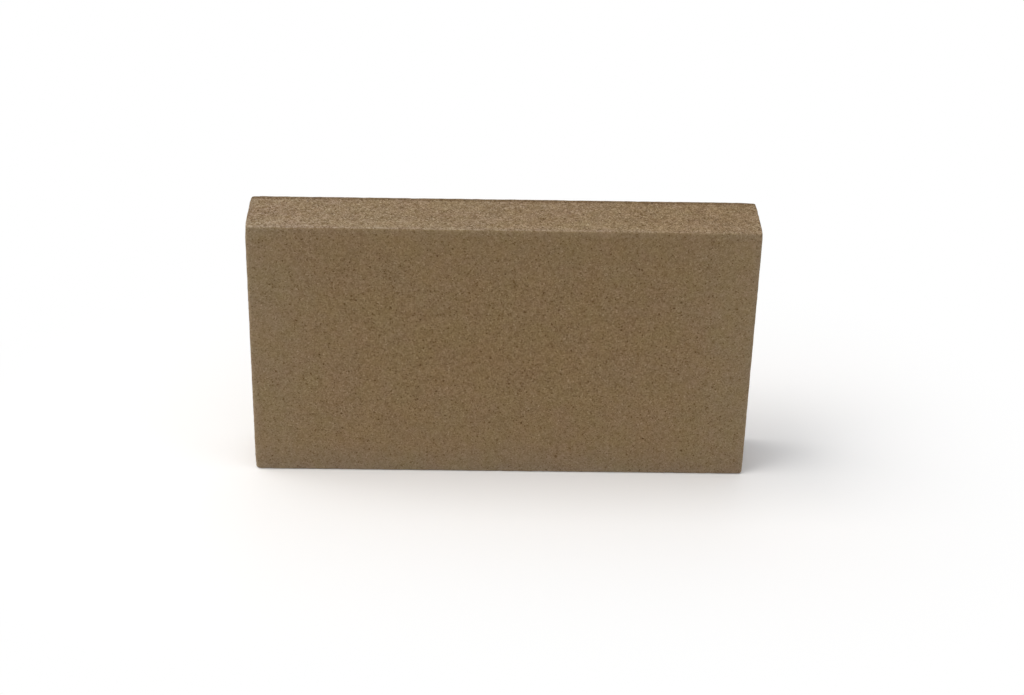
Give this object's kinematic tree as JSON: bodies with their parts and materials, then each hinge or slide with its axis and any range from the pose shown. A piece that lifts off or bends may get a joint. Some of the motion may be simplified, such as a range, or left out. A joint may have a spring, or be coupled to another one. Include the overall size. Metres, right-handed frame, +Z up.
{
  "type": "refractory firebrick",
  "caption": "Flat rectangular firebrick split of fired clay with slightly rounded corners, standing on its long narrow edge, for lining a stove, kiln or hearth.",
  "frame": {"origin": "middle of the long narrow edge that the brick stands on", "axes": "+X along the length, +Y through the thickness from the front bed face to the back one, +Z up the height"},
  "size_m": [0.2286, 0.0318, 0.127],
  "materials": {
    "fired_clay": "matte, open-grained fired clay, buff brown with dark specks"
  },
  "bodies": {
    "root": {"firebrick": "fired_clay"}
  },
  "joints": []
}
